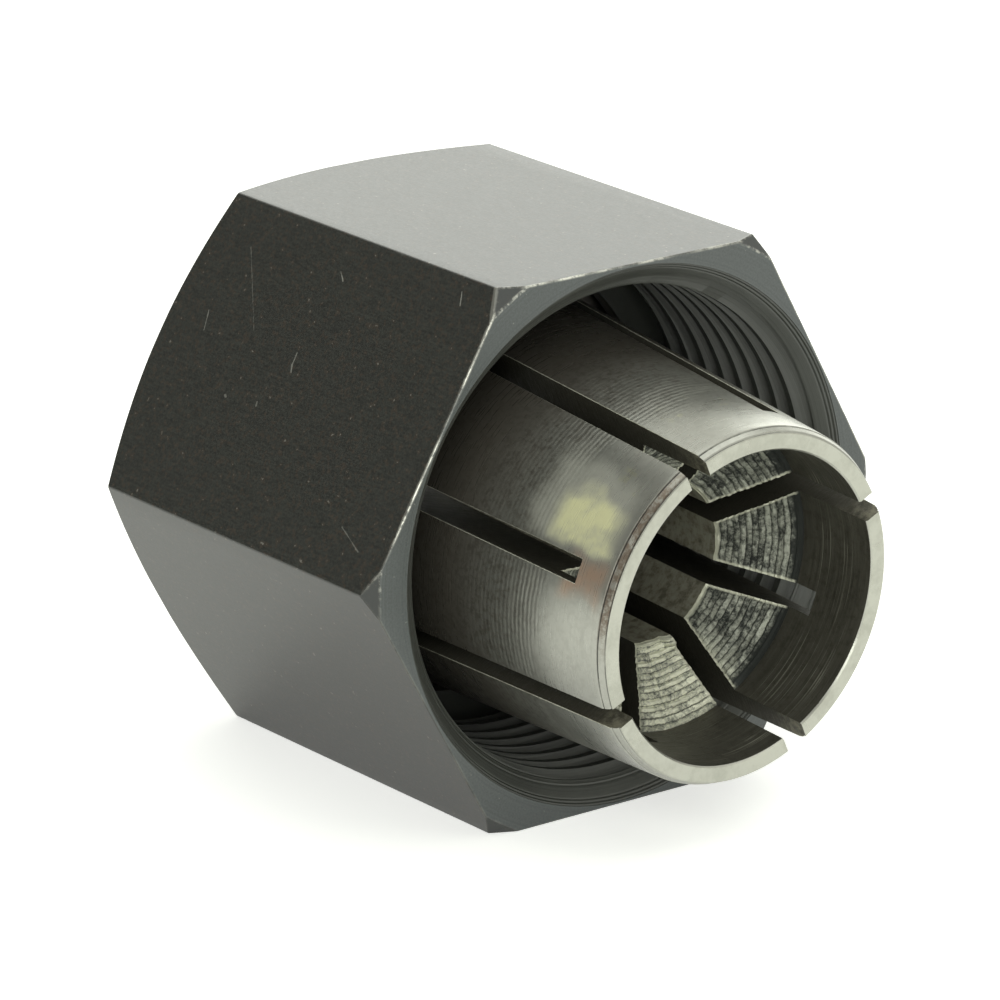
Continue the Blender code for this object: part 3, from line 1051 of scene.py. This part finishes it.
def drilled_steel(sizes):
    """The rough drilled cone: torn rings broken into short chatter marks, with a painted
    highlight on the lowest segment and painted shade along the counterbore wall.
    """
    mat = ColletFinish("drilled_steel")
    pitch = (sizes.counterbore - BORE_R) / CONE_RINGS
    ragged = mat.minus(mat.noise(mat.point, 1.4, 4.0, 0.7), 0.5)
    from_bore = mat.minus(mat.r, BORE_R)
    from_wall = mat.minus(sizes.counterbore, mat.r)
    place = mat.plus(mat.math("DIVIDE", from_bore, pitch), mat.times(ragged, 1.1))
    row = mat.math("FLOOR", place)
    across = mat.math("FRACT", place)
    rib = mat.times(mat.ramp(across, 0.0, 0.26), mat.ramp(across, 1.0, 0.80))
    tone = mat.noise(
        mat.together(mat.times(row, 5.3), mat.times(mat.turn, 4.5)), 1.0, 3.0, 0.65
    )
    chips = mat.noise(
        mat.together(mat.times(place, 1.6), mat.times(mat.turn, 21.0)), 1.0, 3.0, 0.75
    )
    grit = mat.noise(mat.point, 6.5, 3.0, 0.75)
    light = mat.plus(
        mat.times(mat.ramp(tone, 0.36, 0.66), 0.55),
        mat.times(mat.ramp(chips, 0.36, 0.64), 0.26),
        mat.times(mat.ramp(grit, 0.32, 0.68), 0.34),
    )

    # Painted highlight: the lowest segment is drawn brightest, and each one has a bright burr
    # round its edge
    lowest_highlight = mat.math("COSINE", mat.minus(mat.turn, LOWEST_SEGMENT))
    lowest_highlight = mat.ramp(lowest_highlight, 0.80, 0.97)
    # Painted shade: each segment is drawn darker towards the counterbore wall
    border = mat.ramp(mat.plus(from_wall, mat.times(ragged, 0.8)), 0.05, 0.75)
    light = mat.times(
        mat.plus(light, mat.times(lowest_highlight, 0.22)),
        mat.plus(mat.times(rib, 0.55), 0.45),
        mat.most(border, mat.times(lowest_highlight, 0.85)),
    )
    torn = mat.mix(lowest_highlight, *TORN_STEEL_AND_HIGHLIGHT)
    pits = mat.mix(lowest_highlight, *CONE_PITS_AND_HIGHLIGHT)
    base = mat.mix(mat.ramp(light, 0.10, 0.95), pits, torn)
    half_pitch = math.pi / SLOTS_PER_END / 2
    off = mat.math("WRAP", mat.minus(mat.turn, FIRST_SLOT), half_pitch, -half_pitch)
    beside = mat.times(mat.math("ABSOLUTE", off), mat.r)
    beside = mat.minus(beside, sizes.half_slot)
    edge = mat.math("MINIMUM", beside, mat.times(from_bore, 0.7))
    edge = mat.plus(edge, mat.times(ragged, 0.14))
    burr = mat.times(
        mat.ramp(edge, sizes.burr / MM * 0.80, sizes.burr / MM * 0.45),
        mat.ramp(from_wall, 0.0, 0.25),
    )
    base = mat.mix(mat.times(burr, 0.92), base, CONE_BURR)
    mat.set(
        Base_Color=base,
        Metallic=0.55,
        Roughness=mat.ramp(light, 0.0, 0.9, 0.72, 0.40),
        Normal=mat.bump(mat.most(light, burr), 0.05, 0.7),
    )
    return mat.material


def counterbore_steel():
    """The dark wall of the counterbore, with a few bright turning scratches."""
    mat = ColletFinish("counterbore_steel")
    lines = mat.ringwise(6.0, 1.5, 1.3)
    grime = mat.noise(mat.point, 2.4, 4.0, 0.7)
    arcs = mat.ramp(mat.ringwise(9.0, 0.35, 1.6, 2.0, 0.55), 0.60, 0.67)
    faded = mat.ramp(mat.noise(mat.point, 0.45, 2.0, 0.5), 0.40, 0.60, 0.15, 0.8)
    arcs = mat.times(arcs, faded, mat.band(mat.depth, 0.6, 4.0, 0.5))
    base = mat.mix(lines, *COUNTERBORE_WALL)
    dirty = mat.times(mat.ramp(grime, 0.45, 0.7), 0.5)
    base = mat.mix(dirty, base, COUNTERBORE_GRIME)
    mat.set(
        Base_Color=mat.mix(mat.times(arcs, 0.75), base, COUNTERBORE_SCRATCH),
        Metallic=0.55,
        Roughness=mat.ramp(lines, 0.3, 0.7, 0.34, 0.50),
        Normal=mat.bump(mat.plus(lines, grime), 0.03, 0.7),
    )
    return mat.material


def bore_steel():
    """The bored inside that grips the shank, duller and browner."""
    mat = ColletFinish("bore_steel")
    lines = mat.ringwise(5.0, 2.0, 1.5)
    grime = mat.noise(mat.point, 2.0, 4.0, 0.7)
    base = mat.mix(lines, *BORE_WALL)
    mat.set(
        Base_Color=mat.mix(mat.ramp(grime, 0.4, 0.7), base, BORE_GRIME),
        Metallic=0.25,
        Roughness=mat.ramp(lines, 0.3, 0.7, 0.42, 0.55),
        Normal=mat.bump(mat.plus(lines, grime), 0.03, 0.8),
    )
    return mat.material


def burr_steel():
    """The bright torn edges along the saw cuts."""
    mat = ColletFinish("burr_steel")
    ragged = mat.noise(mat.point, 4.0, 3.0, 0.7)
    mat.set(
        Base_Color=mat.mix(mat.ramp(ragged, 0.3, 0.6), *SAW_BURR),
        Metallic=0.35,
        Roughness=mat.ramp(ragged, 0.3, 0.7, 0.40, 0.55),
        Normal=mat.bump(ragged, 0.03, 0.8),
    )
    return mat.material


def sawn_steel(sizes):
    """The walls of the saw cuts, tan at the nose and darker further in."""
    mat = ColletFinish("sawn_steel")
    marks = mat.noise(mat.stretch(mat.point, (7.0, 1.2, 1.2)), 1.2, 4.0, 0.65)
    grime = mat.noise(mat.point, 2.4, 4.0, 0.7)
    tan = mat.mix(
        mat.ramp(grime, 0.35, 0.65), tinted(sizes.sawn, 0.35), tinted(sizes.sawn, 1.3)
    )
    far = mat.ramp(mat.plus(mat.depth, mat.times(marks, 1.5)), 1.0, 3.4)
    mat.set(
        Base_Color=mat.mix(far, tan, tinted(sizes.sawn, 0.32)),
        Metallic=0.35,
        Roughness=mat.ramp(marks, 0.3, 0.7, 0.45, 0.6),
        Normal=mat.bump(mat.plus(marks, grime), 0.05, 0.8),
    )
    return mat.material


class ROUTERCOLLET_OT_collet(bpy.types.Operator):
    """Make the slotted spring collet of bare steel"""

    bl_idname = "router_collet.collet"
    bl_label = "Spring collet"

    def execute(self, context):
        sizes = context.scene.router_collet_collet
        finishes = [
            turned_steel(sizes),
            drilled_steel(sizes),
            counterbore_steel(),
            bore_steel(),
        ]
        phase = FIRST_SLOT + math.pi / COLLET_STEPS
        bm = turned(collet_section(sizes), COLLET_STEPS, closed=True, phase=phase)
        sort_surfaces(bm, sizes)
        roughen_cone(bm, sizes)
        collet = placed_object("spring_collet", bm, HANG, finishes)
        sawn = [sawn_steel(sizes), burr_steel()]
        saw = placed_object("saw", saw_cuts(sizes), HANG, sawn)
        cut(collet, saw, "DIFFERENCE")
        shade(collet, COLLET_CRISP_DEG)
        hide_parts("collet")
        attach(collet, "collet")
        return {"FINISHED"}


def oiled_spring_steel():
    """Dull oiled spring steel with rolling marks."""
    mat = NutFinish("oiled_spring_steel")
    marks = mat.noise(mat.stretch(mat.point, (3.0, 0.6, 0.6)), 1.5, 4.0, 0.6)
    mat.set(
        Base_Color=mat.mix(marks, *SPRING_STEEL),
        Metallic=1.0,
        Roughness=mat.ramp(marks, 0.3, 0.7, 0.30, 0.45),
        Normal=mat.bump(marks, 0.01, 0.5),
    )
    return mat.material


class ROUTERCOLLET_OT_ring(bpy.types.Operator):
    """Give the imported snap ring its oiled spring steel"""

    bl_idname = "router_collet.ring"
    bl_label = "Snap ring finish"

    def execute(self, context):
        ring = frame["nodes"]["retaining_ring"]
        ring.material_slots[0].material = oiled_spring_steel()
        return {"FINISHED"}


# The camera was fitted to the photograph, in degrees and in millimetres
CAMERA_AZIMUTH = 51.2567
CAMERA_ELEVATION = 18.2181
CAMERA_ROLL = 0.8642
CAMERA_DISTANCE = 316.79
CAMERA_ASIDE = -6.140
CAMERA_RAISED = 1.750
CAMERA_LENS = 240.26
SENSOR = 36.0


def add_camera():
    """The camera at the photograph's angle."""
    azimuth, elevation, roll = map(
        math.radians, (CAMERA_AZIMUTH, CAMERA_ELEVATION, CAMERA_ROLL)
    )
    back = Vector((
        math.sin(azimuth) * math.cos(elevation),
        -math.cos(azimuth) * math.cos(elevation),
        math.sin(elevation),
    ))
    level = Vector((math.cos(azimuth), math.sin(azimuth), 0.0))
    above = back.cross(level)
    right = math.cos(roll) * level + math.sin(roll) * above
    up = back.cross(right)
    target = Vector((MOUTH_X, 0.0, AXIS_HEIGHT))
    place = target + CAMERA_ASIDE * right + CAMERA_RAISED * up + CAMERA_DISTANCE * back
    camera = bpy.data.cameras.new("camera")
    camera.lens = CAMERA_LENS
    camera.sensor_width = SENSOR
    camera.clip_start = 0.01
    obj = bpy.data.objects.new("camera", camera)
    turn = Matrix((right, up, back)).transposed().to_4x4()
    obj.matrix_world = Matrix.Translation(place * MM) @ turn
    bpy.context.scene.collection.objects.link(obj)
    bpy.context.scene.camera = obj


def add_softbox(name, direction, distance, size, watts):
    """A soft light that faces the part from a direction."""
    light = bpy.data.lights.new(name, "AREA")
    light.shape = "RECTANGLE"
    light.size, light.size_y = size
    light.energy = watts
    light.color = LAMP_COLOUR
    obj = bpy.data.objects.new(name, light)
    towards = Vector(direction).normalized()
    obj.location = Vector((0.0, 0.0, AXIS_HEIGHT * MM)) + towards * distance
    obj.rotation_euler = towards.to_track_quat("Z", "Y").to_euler()
    obj.visible_camera = False
    bpy.context.scene.collection.objects.link(obj)


# The studio around the object, as reflections show it: each bright side's direction, where
# its soft border starts and ends, and its level; and the dark between them
STUDIO_SIDES = (
    ((-0.75, 0.60, 0.28), 0.45, 0.85, 0.98),
    ((0.66, -0.62, 0.42), 0.80, 0.98, 0.50),
    ((0.62, 0.60, 0.50), 0.55, 0.95, 1.00),
)
STUDIO_DARK = 0.18
STUDIO_FILL = 0.40
STUDIO_TINT = (1.0, 1.01, 0.93)
WHITE = (1.0, 1.0, 1.0)

# The soft lights: each one's name, setting, direction, distance and size in metres
LAMP_COLOUR = (0.97, 1.0, 0.945)
SOFTBOXES = (
    ("backdrop_light", "back_power", (-0.74, 0.60, 0.34), 0.6, (0.7, 0.4)),
    ("key_light", "key_power", (0.62, -0.68, 0.42), 0.5, (0.25, 0.25)),
    ("top_light", "top_power", (0.1, 0.1, 1.0), 0.7, (0.8, 0.8)),
)

# The floor's radius in millimetres, and how brightly it shows itself to each kind of ray
FLOOR_RADIUS = 1500.0
FLOOR_GLOW = (("Is Camera Ray", 0.55), ("Is Glossy Ray", 0.35), ("Is Transmission Ray", 0.35))


def light_world():
    """A white background, bright sides for the reflections, and a weak fill."""
    world = bpy.data.worlds.new("studio")
    bpy.context.scene.world = world
    world.use_nodes = True
    world.node_tree.nodes.clear()
    sky = Nodes(world.node_tree)
    rays = sky.rays()
    towards = sky.node("ShaderNodeTexCoord", output="Generated")
    bright = STUDIO_DARK
    for direction, low, high, level in STUDIO_SIDES:
        facing = sky.vector_math("DOT_PRODUCT", towards, direction, output=1)
        bright = sky.most(sky.ramp(facing, low, high, 0.0, level), bright)
    level = sky.most(
        rays["Is Camera Ray"],
        sky.times(rays["Is Glossy Ray"], bright),
        rays["Is Transmission Ray"],
        sky.times(rays["Is Diffuse Ray"], STUDIO_FILL),
    )
    tint = sky.mix(rays["Is Camera Ray"], STUDIO_TINT, WHITE)
    background = sky.node("ShaderNodeBackground", {"Color": tint, "Strength": level})
    output = sky.tree.nodes.new("ShaderNodeOutputWorld")
    sky.feed(output.inputs["Surface"], background)


def white_floor(settings):
    """A plain white floor that keeps the object's shadow."""
    mat = Finish("white_floor")
    rays = mat.rays()
    glow = mat.most(*(mat.times(rays[name], level) for name, level in FLOOR_GLOW))
    mat.set(
        Base_Color=settings.floor,
        Roughness=0.9,
        Emission_Color=WHITE,
        Emission_Strength=glow,
    )
    return mat.material


class ROUTERCOLLET_OT_stage(bpy.types.Operator):
    """Set the white floor, the soft lights and the camera"""

    bl_idname = "router_collet.stage"
    bl_label = "Stage"

    def execute(self, context):
        settings = context.scene.router_collet_studio
        bm = bmesh.new()
        bmesh.ops.create_circle(bm, cap_ends=True, segments=96, radius=FLOOR_RADIUS)
        floor = placed_object("floor", bm, Matrix.Identity(4), [white_floor(settings)])
        floor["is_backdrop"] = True
        for name, setting, direction, distance, size in SOFTBOXES:
            add_softbox(name, direction, distance, size, getattr(settings, setting))
        light_world()
        add_camera()
        context.scene.view_settings.view_transform = "Standard"
        return {"FINISHED"}


PIECES = (
    (ROUTERCOLLET_OT_nut, "router_collet_nut"),
    (ROUTERCOLLET_OT_collet, "router_collet_collet"),
    (ROUTERCOLLET_OT_ring, ""),
    (ROUTERCOLLET_OT_stage, "router_collet_studio"),
)
GROUPS = {
    "router_collet_nut": ClampingNutSizes,
    "router_collet_collet": ColletSizes,
    "router_collet_studio": StudioSettings,
}


class ROUTERCOLLET_PT_sidebar(bpy.types.Panel):
    """The pieces of the router collet"""

    bl_label = "Router Collet"
    bl_idname = "ROUTERCOLLET_PT_sidebar"
    bl_space_type = "VIEW_3D"
    bl_region_type = "UI"
    bl_category = "Router Collet"

    def draw(self, context):
        for operator, group in PIECES:
            box = self.layout.box()
            box.operator(operator.bl_idname)
            if group:
                settings = getattr(context.scene, group)
                for name in GROUPS[group].__annotations__:
                    box.prop(settings, name)


CLASSES = (
    *GROUPS.values(),
    *(operator for operator, group in PIECES),
    ROUTERCOLLET_PT_sidebar,
)


def register():
    for cls in CLASSES:
        bpy.utils.register_class(cls)
    for name, group in GROUPS.items():
        setattr(bpy.types.Scene, name, PointerProperty(type=group))


def unregister():
    for name in GROUPS:
        delattr(bpy.types.Scene, name)
    for cls in reversed(CLASSES):
        bpy.utils.unregister_class(cls)


def plain(bounds):
    """A box's two corners as plain lists of numbers."""
    return [list(map(float, corner)) for corner in bounds]


def main():
    register()
    solid_box = plain(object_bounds())
    bpy.ops.router_collet.nut()
    bpy.ops.router_collet.collet()
    bpy.ops.router_collet.ring()
    bpy.ops.router_collet.stage()
    {"cad": solid_box, "visual": plain(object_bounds())}


if __name__ == "__main__":
    main()
